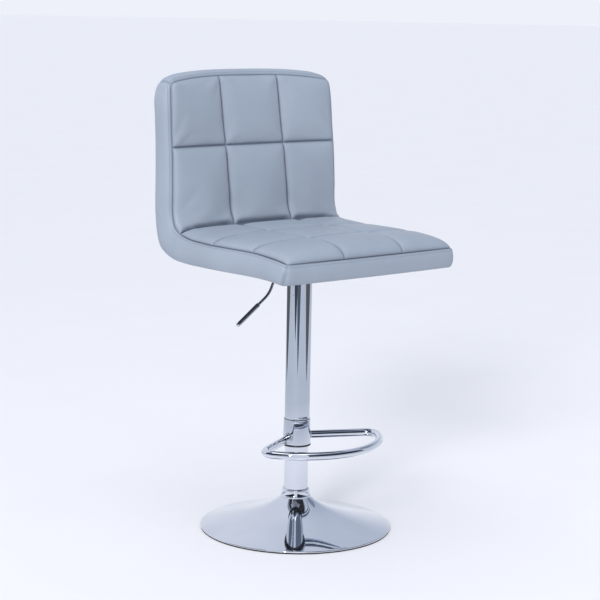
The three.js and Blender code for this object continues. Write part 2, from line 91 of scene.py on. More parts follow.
QUILT_X = 75 * MM  # the two long seams, either side of the middle
SEAT_CROSS = (-110 * MM, 10 * MM)  # cross seams of the seat
BACK_CROSS = CREASE_Z + 151 * MM  # cross seam of the back
SEAM_WIDTH = 213 * MM  # half-width of the border seam on the seat
SEAM_WIDTH_TOP = 206 * MM  # and at the top of the back


# ---- Mesh helpers ----
def link(obj):
    bpy.context.scene.collection.objects.link(obj)
    return obj


def mesh_object(name, vertices, faces, crisp=35):
    """A mesh object with outward faces, smooth apart from edges sharper than crisp degrees."""
    data = bpy.data.meshes.new(name)
    data.from_pydata([tuple(v) for v in vertices], [], [tuple(f) for f in faces])
    work = bmesh.new()
    work.from_mesh(data)
    bmesh.ops.remove_doubles(work, verts=work.verts, dist=1e-7)
    bmesh.ops.recalc_face_normals(work, faces=work.faces)
    for face in work.faces:
        face.smooth = True
    for edge in work.edges:
        edge.smooth = edge.calc_face_angle(0) < math.radians(crisp)
    work.to_mesh(data)
    work.free()
    return link(bpy.data.objects.new(name, data))


def unit(vectors):
    return vectors / np.maximum(np.linalg.norm(vectors, axis=-1, keepdims=True), 1e-12)


def clamp(value):
    return np.clip(value, 0, 1)


def round_angles(count):
    return 2 * math.pi * np.arange(count) / count


def run_of(points):
    """The length along a line at each of its points."""
    return np.concatenate([[0], np.cumsum(np.linalg.norm(np.diff(points, axis=0), axis=1))])


def place_at(length, run, points):
    """Where a line of points is at one length along it, or at many; run is the length at each point."""
    return np.stack([np.interp(length, run, column) for column in np.transpose(points)], axis=-1)


def band(first, second):
    """Faces between two closed loops of vertex numbers."""
    count = len(first)
    turned = [(k + 1) % count for k in range(count)]
    return [(first[k], first[m], second[m], second[k]) for k, m in enumerate(turned)]


def grid_faces(index):
    """Faces over a grid of vertex numbers."""
    corners = (index[:-1, :-1], index[:-1, 1:], index[1:, 1:], index[1:, :-1])
    return np.stack(corners, axis=-1).reshape(-1, 4).tolist()


def skin_faces(loops, closed):
    """Faces from each loop of vertex numbers to the next; the ends are capped unless it runs round."""
    after = loops[1:] + loops[:1] if closed else loops[1:]
    faces = [face for first, second in zip(loops, after) for face in band(first, second)]
    return faces if closed else faces + [tuple(loops[0]), tuple(reversed(loops[-1]))]


def skin(name, rings, closed, crisp=35):
    """A surface over rings of points."""
    count = len(rings[0])
    loops = [range(i * count, (i + 1) * count) for i in range(len(rings))]
    return mesh_object(name, np.concatenate(rings), skin_faces(loops, closed), crisp)


def join(name, objects):
    """Makes one object of several."""
    work = bmesh.new()
    for obj in objects:
        work.from_mesh(obj.data)
        bpy.data.objects.remove(obj)
    data = bpy.data.meshes.new(name)
    work.to_mesh(data)
    work.free()
    return link(bpy.data.objects.new(name, data))


def fillet(outline, radius, steps=5):
    """Rounds the corners of a closed (radius, height) outline, each as far as its sides allow."""
    rounded = []
    count = len(outline)
    for i in range(count):
        before, here, after = (np.array(outline[(i + k) % count], float) for k in (-1, 0, 1))
        a, b = before - here, after - here
        reach = min(radius, 0.45 * np.linalg.norm(a), 0.45 * np.linalg.norm(b))
        start = here + a / np.linalg.norm(a) * reach
        end = here + b / np.linalg.norm(b) * reach
        for k in range(steps + 1):
            t = k / steps
            rounded.append((1 - t) ** 2 * start + 2 * t * (1 - t) * here + t * t * end)
    return rounded


def lathe(name, outline, sides=144, crisp=35):
    """A ring turned about the column's axis from a closed (radius, height) outline."""
    radius, height = np.array(outline, float).T
    rings = []
    for angle in round_angles(sides):
        rings.append(np.stack([radius * math.cos(angle), radius * math.sin(angle), height], axis=1))
    return skin(name, rings, True, crisp)


def round_bar(name, points, radii, across, lift, sides, closed, crisp=35):
    """A bar with a round section at each point, in the plane of that point's across and lift."""
    rings = []
    for p, a, b, r in zip(points, across, lift, radii):
        rings.append([p + r * (math.cos(t) * a + math.sin(t) * b) for t in round_angles(sides)])
    return skin(name, rings, closed, crisp)


def sweep(name, points, radius, up, sides=28):
    """A round bar along points that lie in the plane square to up. radius is a number or one per point."""
    points = np.array(points, float)
    radii = np.broadcast_to(np.array(radius, float), (len(points),))
    tangents = np.gradient(points, axis=0)
    across = unit(np.cross(up, tangents))
    return round_bar(name, points, radii, across, unit(np.cross(tangents, across)), sides, False)


def curve_through(points, spacing=1 * MM):
    """Evenly spaced points on a smooth curve through the given ones, and the length at each."""
    points = np.array(points, float)
    chord = run_of(points)
    tangents = np.gradient(points, chord, axis=0)
    fine = []
    for i in range(len(points) - 1):
        span = chord[i + 1] - chord[i]
        for t in np.linspace(0, 1, 24, endpoint=False):
            h0 = 2 * t**3 - 3 * t**2 + 1
            h1 = t**3 - 2 * t**2 + t
            h2 = 3 * t**2 - 2 * t**3
            h3 = t**3 - t**2
            place = h0 * points[i] + h1 * span * tangents[i]
            fine.append(place + h2 * points[i + 1] + h3 * span * tangents[i + 1])
    fine.append(points[-1])
    run = run_of(fine)
    even = np.linspace(0, run[-1], max(2, int(run[-1] / spacing)) + 1)
    return place_at(even, run, fine), even


def follow(points):
    """The curve through points by share of its length, the share where a point is, and the length."""
    line, run = curve_through(points)
    share = run / run[-1]

    def at(s):
        return place_at(s, share, line)

    def share_of(point):
        return share[np.argmin(np.linalg.norm(line - np.array(point, float), axis=1))]

    return at, share_of, run[-1]


# ---- Materials ----
def material(name, **values):
    """A new material, its tree and its shader, with constants for inputs of the shader."""
    made = bpy.data.materials.new(name)
    made.use_nodes = True
    shader = made.node_tree.nodes["Principled BSDF"]
    for key, value in values.items():
        shader.inputs[key.replace("_", " ")].default_value = value
    return made, made.node_tree, shader


def node(tree, kind, **values):
    """A new node with its settings; names of inputs are given with spaces as underscores."""
    made = tree.nodes.new(kind)
    for key, value in values.items():
        if hasattr(made, key):
            setattr(made, key, value)
        else:
            made.inputs[key.replace("_", " ")].default_value = value
    return made


def object_coordinates(tree):
    return node(tree, "ShaderNodeTexCoord").outputs["Object"]


def texture(tree, kind, stretch=None, **values):
    """A texture node in the object's own space; stretch scales the coordinates along X, Y and Z."""
    made = node(tree, kind, **values)
    place = object_coordinates(tree)
    if stretch:
        mapping = node(tree, "ShaderNodeMapping", Scale=stretch)
        tree.links.new(place, mapping.inputs["Vector"])
        place = mapping.outputs["Vector"]
    tree.links.new(place, made.inputs["Vector"])
    return made


def noise(tree, scale, detail=3.0, roughness=0.5, stretch=None):
    made = texture(tree, "ShaderNodeTexNoise", stretch, Scale=scale, Detail=detail, Roughness=roughness)
    return made.outputs["Fac"]


def ramp(tree, value, dark, light, start=0.3, end=0.7):
    """A colour that goes from dark to light as a value goes from start to end."""
    made = tree.nodes.new("ShaderNodeValToRGB")
    for element, position, colour in zip(made.color_ramp.elements, (start, end), (dark, light)):
        element.position = position
        element.color = (*colour, 1)
    tree.links.new(value, made.inputs["Fac"])
    return made.outputs["Color"]


def colour_by(tree, shader, *stops):
    """Base colour from a ramp."""
    tree.links.new(ramp(tree, *stops), shader.inputs["Base Color"])


def roughen(tree, shader, value, smallest, largest):
    """Roughness that goes from smallest to largest as a value goes from 0 to 1."""
    made = node(tree, "ShaderNodeMapRange", To_Min=smallest, To_Max=largest)
    tree.links.new(value, made.inputs["Value"])
    tree.links.new(made.outputs["Result"], shader.inputs["Roughness"])


def combine(tree, operation, a, b):
    """Arithmetic on two values, each a number or a socket."""
    made = node(tree, "ShaderNodeMath", operation=operation)
    for i, value in enumerate((a, b)):
        if isinstance(value, (int, float)):
            made.inputs[i].default_value = value
        else:
            tree.links.new(value, made.inputs[i])
    return made.outputs["Value"]


def multiply(tree, colour, by, share):
    """Multiplies a colour by another one, as far as share says."""
    made = node(tree, "ShaderNodeMix", data_type="RGBA", blend_type="MULTIPLY")
    sockets = {socket.identifier: socket for socket in made.inputs}
    tree.links.new(share, sockets["Factor_Float"])
    tree.links.new(colour, sockets["A_Color"])
    sockets["B_Color"].default_value = (*by, 1)
    return next(socket for socket in made.outputs if socket.identifier == "Result_Color")


def bump(tree, shader, height, strength, distance):
    made = node(tree, "ShaderNodeBump", Strength=strength, Distance=distance)
    tree.links.new(height, made.inputs["Height"])
    tree.links.new(made.outputs["Normal"], shader.inputs["Normal"])


def chrome_material():
    """Bright plating with a faint waviness and light wipe marks."""
    made, tree, shader = material("chrome_plating", Metallic=1)
    colour_by(tree, shader, noise(tree, 14, 2), (0.70, 0.73, 0.79), (0.75, 0.78, 0.84))
    roughen(tree, shader, noise(tree, 60, 4, 0.65, (1, 1, 0.15)), 0.01, 0.055)
    bump(tree, shader, noise(tree, 45, 1), 0.04, 0.4 * MM)
    return made


def leather_material():
    """Grey-blue leatherette: fine pebble grain, soft creases and painted shade in the seams."""
    sheen = {"Sheen_Weight": 0.06, "Sheen_Roughness": 0.4}
    made, tree, shader = material("leatherette", Specular_IOR_Level=0.42, **sheen)
    # The seam attribute carries painted shade: the leather is darkened in the seam valleys, along the crease
    # and in the tucks, where shade falls.
    seam = node(tree, "ShaderNodeAttribute", attribute_name="seam").outputs["Fac"]
    tone = ramp(tree, noise(tree, 9, 4), (0.268, 0.309, 0.365), (0.295, 0.339, 0.398))
    shaded = multiply(tree, tone, (0.33, 0.37, 0.45), combine(tree, "MULTIPLY", seam, 0.9))
    tree.links.new(shaded, shader.inputs["Base Color"])

    cells = texture(tree, "ShaderNodeTexVoronoi", Scale=950, feature="SMOOTH_F1")
    grain = combine(tree, "MULTIPLY", cells.outputs["Distance"], 0.5)
    creases = combine(tree, "MULTIPLY", noise(tree, 110, 5, 0.6), 1.1)
    pucker = combine(tree, "MULTIPLY", noise(tree, 240, 2), combine(tree, "MULTIPLY", seam, 3.0))
    height = combine(tree, "ADD", combine(tree, "ADD", grain, creases), pucker)
    bump(tree, shader, height, 0.22, 0.45 * MM)
    roughen(tree, shader, noise(tree, 160, 3), 0.40, 0.54)
    return made


def thread_material():
    """Darker sewing thread with its twist."""
    made, tree, shader = material("stitching_thread", Roughness=0.6)
    twist = texture(tree, "ShaderNodeTexWave", Scale=900, Distortion=1.5).outputs["Fac"]
    colour_by(tree, shader, twist, (0.15, 0.18, 0.23), (0.24, 0.28, 0.34), 0.2, 0.8)
    bump(tree, shader, twist, 0.4, 0.1 * MM)
    return made


def grained_material(name, mottle, dark, light, grain, rough, relief, metallic=0.0):
    """Mottled from dark to light, with a finer grain that sets roughness and relief (strength, depth)."""
    made, tree, shader = material(name, Metallic=metallic)
    colour_by(tree, shader, noise(tree, *mottle), dark, light)
    fine = noise(tree, *grain)
    roughen(tree, shader, fine, *rough)
    bump(tree, shader, fine, *relief)
    return made


def steel_material():
    """Zinc-plated steel with a faint brushed grain."""
    dark, light = (0.36, 0.37, 0.38), (0.52, 0.53, 0.54)
    mottle, brushed = (35, 5, 0.6), (120, 3, 0.5, (1, 1, 14))
    return grained_material("zinc_steel", mottle, dark, light, brushed, (0.24, 0.46), (0.08, 0.2 * MM), 1)


def plastic_material():
    """Black moulded plastic with a fine spark-eroded texture."""
    dark, light = (0.010, 0.011, 0.013), (0.019, 0.020, 0.023)
    return grained_material("black_plastic", (60, 3), dark, light, (1500, 2), (0.28, 0.44), (0.15, 0.1 * MM))


def rubber_material():
    """Dull black rubber with a fine speckle."""
    dark, light = (0.008, 0.008, 0.009), (0.020, 0.020, 0.021)
    return grained_material("rubber", (90, 4), dark, light, (900, 3), (0.65, 0.9), (0.25, 0.15 * MM))


def iron_material():
    """Sand-cast iron, painted dark grey."""
    dark, light = (0.030, 0.031, 0.033), (0.060, 0.061, 0.064)
    sand = (600, 4, 0.7)
    return grained_material("cast_iron", (70, 5), dark, light, sand, (0.55, 0.8), (0.6, 0.5 * MM), 0.3)


def plywood_material():
    """Birch plywood with long grain."""
    made, tree, shader = material("plywood", Roughness=0.7)
    grain = noise(tree, 28, 6, 0.6, (1, 9, 9))
    colour_by(tree, shader, grain, (0.36, 0.23, 0.12), (0.55, 0.39, 0.22))
    bump(tree, shader, grain, 0.2, 0.3 * MM)
    return made


def cloth_material():
    """Black spun-bonded dust cloth with its dimpled weld pattern."""
    made, tree, shader = material("dust_cloth", Roughness=0.9, Sheen_Weight=0.2)
    dimples = texture(tree, "ShaderNodeTexVoronoi", Scale=520, Randomness=0.15).outputs["Distance"]
    colour_by(tree, shader, dimples, (0.008, 0.008, 0.010), (0.022, 0.022, 0.026), 0.1, 0.6)
    bump(tree, shader, dimples, 0.5, 0.3 * MM)
    return made


THREAD = thread_material()
SLOTS = {
    "chrome": chrome_material(),
    "leather": leather_material(),
    "steel": steel_material(),
    "black_plastic": plastic_material(),
    "rubber": rubber_material(),
    "cast_iron": iron_material(),
    "plywood": plywood_material(),
    "black_cloth": cloth_material(),
}


def dress(obj, slot, body, *nodes, look=None):
    """Gives a piece the material of its slot and its body, and hides the CAD nodes that it stands for."""
    obj.data.materials.clear()
    obj.data.materials.append(look or SLOTS[slot])
    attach(obj, body)
    if nodes:
        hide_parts(*nodes)
    return obj


def dress_frame():
    """Gives each CAD node the material of its slot in the record."""
    for part in frame["record"]["subparts"]:
        data = frame["nodes"][part["node"]].data
        data.materials.clear()
        data.materials.append(SLOTS[part["material_slot"]])


# ---- Base and column ----
def shell_height(radius):
    """Outer face of the base: a shallow cone with a trumpet flare at the neck."""
    flare = 16.1 * MM * math.exp((35 * MM - radius) / (28 * MM))
    return BASE_RIM_TOP + 0.25 * (BASE_RADIUS - radius) + flare


def make_shell():
    """The hollow trumpet with its rolled rim."""
    wall = 2.2 * MM
    radii = [NECK_RADIUS + (BASE_RADIUS - 2 * MM - NECK_RADIUS) * (i / 64) ** 1.4 for i in range(65)]
    outer = [(r, shell_height(r)) for r in radii]
    roll = ((-0.8, 0.2), (-0.1, -0.6), (0, -1.4), (-0.4, -2.2))
    lip = [(BASE_RADIUS + r * MM, BASE_RIM_TOP + z * MM) for r, z in roll]
    inner = [(r, h - wall) for r, h in reversed(outer)]
    shell = lathe("trumpet_shell", outer + lip + inner, 256)
    dress(shell, "chrome", "base", "base_shell")


def make_trim_ring():
    """The ring at the neck: a bead on the shell, a leaning side and a rounded lip at the top."""
    skirt = high("base_trim_ring").x
    seat = shell_height(skirt)
    inside = [(COLUMN_BORE, RING_TOP - 2.5 * MM), (COLUMN_BORE + 2.2 * MM, RING_TOP - 3.5 * MM)]
    bead = ((-1.6, 1.9), (-0.9, 0.8), (-0.2, 0.8), (0, 1.9), (-0.2, 3.4), (-1.4, 4.2), (-1.9, 5.2))
    lip = ((-3.9, -4.6), (-3.1, -3.8), (-3.1, -2.2), (-4.0, -1.0), (-5.2, 0))
    ring = inside + [(skirt + r * MM, seat + z * MM) for r, z in bead]
    ring += [(skirt + r * MM, RING_TOP + z * MM) for r, z in lip]
    ring.append((COLUMN_BORE, RING_TOP))
    trim = lathe("neck_trim_ring", fillet(ring, 0.5 * MM, 3), 160, 50)
    dress(trim, "chrome", "base", "base_trim_ring")


def make_floor_ring():
    """The rubber ring under the rim."""
    gasket = [
        (FLOOR_RING_BORE, 0.0),
        (BASE_RADIUS - 0.8 * MM, 0.0),
        (BASE_RADIUS - 0.4 * MM, 2.4 * MM),
        (FLOOR_RING_BORE, 2.4 * MM),
    ]
    ring = lathe("floor_ring", fillet(gasket, 0.6 * MM, 3), 200)
    dress(ring, "rubber", "base", "base_floor_ring")


def tube_outline(inner, outer_bottom, outer_top, bottom, top, edge):
    """Section of a tube with rounded edges, and a loop beside each edge that keeps its long face flat."""
    inset = 2.5 * MM
    lean = (outer_top - outer_bottom) / (top - bottom) * inset
    corners = [
        (inner, bottom),
        (outer_bottom, bottom),
        (outer_bottom + lean, bottom + inset),
        (outer_top - lean, top - inset),
        (outer_top, top),
        (inner, top),
        (inner, top - inset),
        (inner, bottom + inset),
    ]
    return fillet(corners, edge, 4)


def make_column():
    """The fixed column and the sleeve that goes up with the seat."""
    bottom, top = low("column_tube").z, high("column_tube").z
    bore = COLUMN_RADIUS - 1.5 * MM
    column = lathe("column", tube_outline(bore, COLUMN_RADIUS, COLUMN_RADIUS, bottom, top, 0.4 * MM))
    dress(column, "chrome", "base", "column_tube")
    inner = SLEEVE_RADIUS - 1 * MM
    section = tube_outline(inner, SLEEVE_RADIUS, SLEEVE_RADIUS, SLEEVE_BOTTOM, SLEEVE_TOP, 0.45 * MM)
    sleeve = lathe("sleeve", section)
    dress(sleeve, "chrome", "seat", "lift_sleeve")


# ---- Footrest ----
def collar_radius(height):
    """Outer radius of the collar, which narrows a little towards its top."""
    share = (height - COLLAR_BOTTOM) / (COLLAR_TOP - COLLAR_BOTTOM)
    return COLLAR_RADIUS - COLLAR_TAPER * share


def arc(centre, radius, start, end, steps):
    """Points on an arc, with angles in radians."""
    angles = np.linspace(start, end, steps)
    return [(centre[0] + radius * math.cos(t), centre[1] + radius * math.sin(t)) for t in angles]


def hoop_line():
    """Centre line of the hoop from the collar out, round the front and back to the collar, in plan."""
    bend_radius = 25 * MM
    bend = np.array((116 * MM, -80 * MM))
    front_radius = 161 * MM
    front_centre = (0, front_radius - HOOP_FRONT)
    start = np.array((20 * MM, -2 * MM))
    hidden = 6.5 * MM  # length of the straight line from start that is left off
    reach = bend - start
    arm_angle = math.atan2(reach[1], reach[0]) + math.asin(bend_radius / np.linalg.norm(reach))
    bend_start = arm_angle + math.pi / 2
    bend_end = math.atan2(bend[1] - front_centre[1], bend[0])
    corner = bend + bend_radius * np.array((math.cos(bend_start), math.sin(bend_start)))
    first = start + (corner - start) * (hidden / np.linalg.norm(corner - start))
    arm = [tuple(first + (corner - first) * t) for t in np.linspace(0, 1, 24, endpoint=False)]
    right = arm + arc(bend, bend_radius, bend_start, bend_end, 28)[:-1]
    front = arc(front_centre, front_radius, bend_end, -math.pi / 2, 40)
    half = right + front
    whole = half + [(-x, y) for x, y in reversed(half[:-1])]
    return [(x, y, HOOP_HEIGHT) for x, y in whole]


def weld_bead(name, side):
    """The rippled bead where an arm of the hoop meets the collar."""
    along = hoop_line()
    start, ahead = np.array(along[0]), np.array(along[6])
    direction = unit(ahead - start)
    across = np.array((-direction[1], direction[0], 0))
    lift = np.array((0, 0, 1.0))
    ripples = 17
    points, radii = [], []
    for angle in round_angles(120):
        offset = (HOOP_TUBE + 0.2 * MM) * (math.cos(angle) * across + math.sin(angle) * lift)
        p = start + offset
        wall = collar_radius(p[2]) + 0.6 * MM
        need = math.sqrt(max(wall**2 - (p @ across) ** 2, 0)) - p @ direction
        p = p + direction * need
        points.append((side * p[0], p[1], p[2]))
        radii.append((2.0 + 0.35 * math.sin(ripples * angle) + 0.2 * math.sin(3 * angle + side)) * MM)
    return closed_bead(name, points, radii)


def closed_bead(name, points, radii, sides=14):
    """A round bar along a closed loop of points."""
    points = np.array(points)
    tangents = unit(np.roll(points, -1, 0) - np.roll(points, 1, 0))
    outward = points - points.mean(0)
    outward = unit(outward - (outward * tangents).sum(1)[:, None] * tangents)
    return round_bar(name, points, radii, outward, np.cross(tangents, outward), sides, True, 80)


def make_footrest():
    """The collar, the plastic bushing inside it, and the hoop with its two welds."""
    lining = COLUMN_RADIUS + 1.7 * MM
    narrow = COLLAR_RADIUS - COLLAR_TAPER
    section = tube_outline(lining, COLLAR_RADIUS, narrow, COLLAR_BOTTOM, COLLAR_TOP, 0.4 * MM)
    collar = lathe("footrest_sleeve", section)
    dress(collar, "chrome", "base", "footrest_collar")

    bottom, top = low("footrest_bushing").z, high("footrest_bushing").z
    flange = COLLAR_BOTTOM - 0.3 * MM
    bushing = [
        (COLUMN_BORE, bottom),
        (COLLAR_RADIUS + 0.3 * MM, bottom),
        (COLLAR_RADIUS + 0.3 * MM, flange),
        (lining - 0.3 * MM, flange),
        (lining - 0.3 * MM, top),
        (COLUMN_BORE, top),
    ]
    lining_ring = lathe("footrest_lining", fillet(bushing, 0.4 * MM, 3))
    dress(lining_ring, "black_plastic", "base", "footrest_bushing")

    hoop = sweep("footrest_ring", hoop_line(), HOOP_TUBE, (0, 0, 1), 40)
    dress(hoop, "chrome", "base", "footrest_hoop")
    for side, name in ((1, "left"), (-1, "right")):
        dress(weld_bead(f"hoop_weld_{name}", side), "chrome", "base")


# ---- Lever ----
def bent_line(corners, radius, step=1.5 * MM):
    """Straight runs between (x, z) corners, with round bends."""
    corners = [np.array(c, float) for c in corners]
    line = [corners[0]]
    for before, here, after in zip(corners, corners[1:], corners[2:]):
        a = here + unit(before - here) * radius
        b = here + unit(after - here) * radius
        line += [(1 - t) ** 2 * a + 2 * t * (1 - t) * here + t * t * b for t in np.linspace(0, 1, 12)]
    line.append(corners[-1])
    run = run_of(line)
    even = np.linspace(0, run[-1], int(run[-1] / step))
    return [(x, 0.0, z) for x, z in place_at(even, run, line)]


def make_lever():
    """The bent rod with its pivot eye, and the grip at its end."""
    height = 532.5 * MM  # of the rod's level run
    bend = np.array((-79 * MM, 486 * MM))
    tip = np.array((low("lever_grip").x + 2.4 * MM, low("lever_grip").z + 4.2 * MM))
    away = unit(tip - bend)
    grip_start = tip - away * 66 * MM
    corners = [(3 * MM, height), (-57 * MM, height), bend, grip_start + away * 20 * MM]
    rod = sweep("lever_bar", bent_line(corners, 14 * MM), 3 * MM, (0, 1, 0), 24)
    section = [(2.3 * MM, -3.5 * MM), (6 * MM, -3.5 * MM), (6 * MM, 3.5 * MM), (2.3 * MM, 3.5 * MM)]
    eye = lathe("lever_eye", fillet(section, 0.5 * MM, 3), 48)
    pivot = Matrix.Translation((-38 * MM, 0, height)) @ Matrix.Rotation(math.pi / 2, 4, "X")
    eye.data.transform(pivot)
    dress(join("lever_arm", [rod, eye]), "chrome", "lever", "lever_rod")

    shares = np.array((0, 0.008, 0.03, 0.08, 0.5, 0.90, 0.96, 0.985, 1.0))
    widths = np.array((3.3, 4.0, 4.5, 4.8, 4.8, 4.7, 4.4, 3.7, 2.6)) * MM
    steps = np.concatenate([np.linspace(0, 0.1, 14), np.linspace(0.13, 0.87, 24), np.linspace(0.9, 1, 14)])
    line = [grip_start + (tip - grip_start) * s for s in steps]
    radii = np.interp(steps, shares, widths)
    grip = sweep("lever_handle", [(p[0], 0.0, p[1]) for p in line], radii, (0, 1, 0), 28)
    dress(grip, "chrome", "lever", "lever_grip")


# ---- Upholstery ----
def side_point(y, z):
    """A point of a side profile: y behind the seat's front face and z above the crease, both in mm."""
    return (SEAT_FRONT + y * MM, CREASE_Z + z * MM)


# Side profiles from the front of the seat to the top of the back: the border seam and the outline behind.
SEAM_SIDE = [side_point(*p) for p in (
    (-8, -37), (12, -33.5), (42, -30), (78, -27), (162, -26.5), (243, -26), (298, -21), (321, -14),
    (334, -5), (341, 11), (345, 68), (350, 151), (353, 177), (357.5, 243), (361, 285),
)]
REAR_SIDE = [side_point(*p) for p in (
    (-4, -76), (16, -73), (42, -71), (98, -70), (168, -71), (235, -71), (290, -70), (328, -66),
    (353, -57.5), (371, -45), (382.5, -20), (388, 8), (391, 91), (394.5, 174), (399, 222),
    (402, 256), (400, 283), (393, 291),
)]
SEAM_CREASE = side_point(330, -8)
REAR_HEEL = side_point(371, -45)
CREASE_SHARE = 0.53  # share of the outline's length from the front to the crease
END_SHARE = 0.12  # share over which the front edge is bowed, and likewise the top edge arched
BOW_TOP = 19 * MM  # the middle of the back is this far behind its sides at the top
BOW_BOTTOM = -15 * MM  # and this far behind them, so in front of them, at the crease
REAR_BOW = 12 * MM  # the same for the rear cover at the top
REAR_BOW_BOTTOM = 2 * MM  # and at the crease
FRONT_BOW = 4 * MM  # the middle of the front edge is this far in front of its corners
BORDER = 1 * MM  # the quilted pads end this far inside the border seam
SEAM_DENT = 0.9 * MM  # depth of the boxing's own cross seams

seam_at, seam_share, SEAM_LENGTH = follow(SEAM_SIDE)
rear_at, rear_share, _ = follow(REAR_SIDE)
SEAM_BREAK = seam_share(SEAM_CREASE)
REAR_BREAK = rear_share(REAR_HEEL)


def graded(start, end, count, pinch=0.6):
    """Positions from start to end, closer together at both ends."""
    t = np.linspace(0, 1, count + 1)
    eased = 0.5 - 0.5 * np.cos(math.pi * t)
    return start + (end - start) * (pinch * eased + (1 - pinch) * t)


def panel_lines(stops, counts, pinch=0.85):
    """Grid lines over neighbouring panels, closer together beside each seam."""
    lines = [graded(a, b, n, pinch)[:-1] for a, b, n in zip(stops, stops[1:], counts)]
    return np.concatenate([*lines, [stops[-1]]])


def squeeze_corners(x, s, half_width, start, end, start_radius, end_radius):
    """Moves the points of a rectangular grid so that its corners are round."""
    x, s = x.copy(), s.copy()
    for edge, sign, radius in ((start, -1, start_radius), (end, 1, end_radius)):
        if radius <= 0:
            continue
        p = (np.abs(x) - (half_width - radius)) / radius
        q = (sign * (s - edge) + radius) / radius
        inside = (p > 0) & (q > 0)
        p1 = p * np.sqrt(clamp(1 - q * q / 2))
        q1 = q * np.sqrt(clamp(1 - p * p / 2))
        x = np.where(inside, np.sign(x) * (half_width - radius + p1 * radius), x)
        s = np.where(inside, edge + sign * (q1 - 1) * radius, s)
    return x, s


def back_share(s):
    """How far up the back a share of the outline's length is, from 0 at the crease to 1 at the top."""
    return clamp((s - CREASE_SHARE) / (1 - CREASE_SHARE))


def seam_half_width(s):
    """Half-width of the border seam at a share of the outline's length."""
    return SEAM_WIDTH + (SEAM_WIDTH_TOP - SEAM_WIDTH) * back_share(s)


def bow_at(x, s, top, bottom):
    """How far the back bows rearwards at a place across and along it."""
    fade = clamp((s - CREASE_SHARE + 0.06) / 0.06)
    across = 1 - clamp(np.abs(x) / SEAM_WIDTH) ** 2
    return (bottom + (top - bottom) * back_share(s)) * across * fade


def arch(x):
    """How much higher than its border points the top edge of the back is at each place across."""
    return 4 * MM - 13 * MM * clamp(np.abs(x) / SEAM_WIDTH_TOP) ** 3


def bowed_surface(x, s, profile, turn, bow_top, bow_bottom):
    """The surface with a side profile, bowed and arched; turn is the profile's share at the crease."""
    yz = profile(np.interp(s, [0, CREASE_SHARE, 1], [0, turn, 1]))
    front = clamp(1 - s / END_SHARE) * (1 - (x / SEAM_WIDTH) ** 2)
    y = yz[..., 0] + bow_at(x, s, bow_top, bow_bottom) - FRONT_BOW * front
    rise = clamp((s - 1 + END_SHARE) / END_SHARE) * arch(x)
    return np.stack([x, y, yz[..., 1] + rise], axis=-1)


def seam_surface(x, s):
    """The surface through the border seam, before any padding."""
    return bowed_surface(x, s, seam_at, SEAM_BREAK, BOW_TOP, BOW_BOTTOM)


def rear_surface(x, s):
    """The underside of the seat, the heel and the rear of the back."""
    return bowed_surface(x, s, rear_at, REAR_BREAK, REAR_BOW, REAR_BOW_BOTTOM)


def boundary(rows, columns):
    """Grid indices round the edge of a grid, in order."""
    loop = [(0, j) for j in range(columns - 1)]
    loop += [(i, columns - 1) for i in range(rows - 1)]
    loop += [(rows - 1, j) for j in range(columns - 1, 0, -1)]
    loop += [(i, 0) for i in range(rows - 1, 0, -1)]
    return loop


def outline_grid(surface, wide_by, corner_front, corner_top, a_lines, s_lines):
    """Points of a surface over a grid whose outline has round corners."""
    a, s = np.meshgrid(a_lines, s_lines)
    width = seam_half_width(s) + wide_by
    run = s * SEAM_LENGTH
    x, run = squeeze_corners(a * width, run, width, 0, SEAM_LENGTH, corner_front, corner_top)
    return surface(x, run / SEAM_LENGTH)


def make_body_arrays():
    """The seam and rear surfaces, their edges round the boxing, and the direction out of it there."""
    a_lines = graded(-1, 1, 68, 0.35)
    s_lines = np.concatenate([
        graded(0, CREASE_SHARE, 50, 0.35)[:-1],
        graded(CREASE_SHARE, 1, 44, 0.35),
    ])
    seam = outline_grid(seam_surface, 0, 8 * MM, 13 * MM, a_lines, s_lines)
    rear = outline_grid(rear_surface, 6.5 * MM, 11 * MM, 44 * MM, a_lines, s_lines)
    loop = boundary(len(s_lines), len(a_lines))
    seam_edge = np.array([seam[i, j] for i, j in loop])
    rear_edge = np.array([rear[i, j] for i, j in loop])
    middle = (seam_edge + rear_edge) / 2
    along = np.roll(middle, -1, 0) - np.roll(middle, 1, 0)
    outward = unit(np.cross(seam_edge - rear_edge, along))
    if outward[np.argmax(middle[:, 0]), 0] < 0:
        outward = -outward
    for _ in range(3):
        outward = unit(np.roll(outward, 1, 0) + 2 * outward + np.roll(outward, -1, 0))
    return seam, rear, loop, seam_edge, rear_edge, outward


def boxing_bulge(rear_edge):
    """How far the boxing stands out at each place round the outline."""
    z = rear_edge[:, 2]
    front = clamp((SEAT_FRONT + 30 * MM - rear_edge[:, 1]) / (30 * MM))
    top = clamp((z - BACK_TOP + 60 * MM) / (60 * MM))
    side = clamp((z - CREASE_Z) / (60 * MM))
    return 9 * MM - 1.5 * MM * front + 2 * MM * side - 3 * MM * top


def boxing_rows(seam_edge, rear_edge, outward):
    """Loops across the boxing from the rear edge to the border seam."""
    bulge = boxing_bulge(rear_edge)[:, None]
    rows = []
    for t in graded(0, 1, 16, 0.75):
        swell = max(0.0, 1 - abs(2 * t - 1) ** 2.4) ** 0.62
        rows.append(rear_edge + (seam_edge - rear_edge) * t + outward * bulge * swell)
    return rows


def opening_recess(rear):
    """Lifts the middle of the seat's underside above the dust cover, inside the turned-under edge."""
    cover_low, cover_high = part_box("underside_dust_cover")
    level = cover_high.z + 0.1 * MM
    margin = 3.5 * MM
    lifted = rear.copy()
    inside = (
        (np.abs(rear[..., 0]) < cover_high.x - margin)
        & (rear[..., 1] > cover_low.y + margin)
        & (rear[..., 1] < cover_high.y - margin)
        & (rear[..., 2] < level)
    )
    lifted[..., 2] = np.where(inside, level, lifted[..., 2])
    return lifted


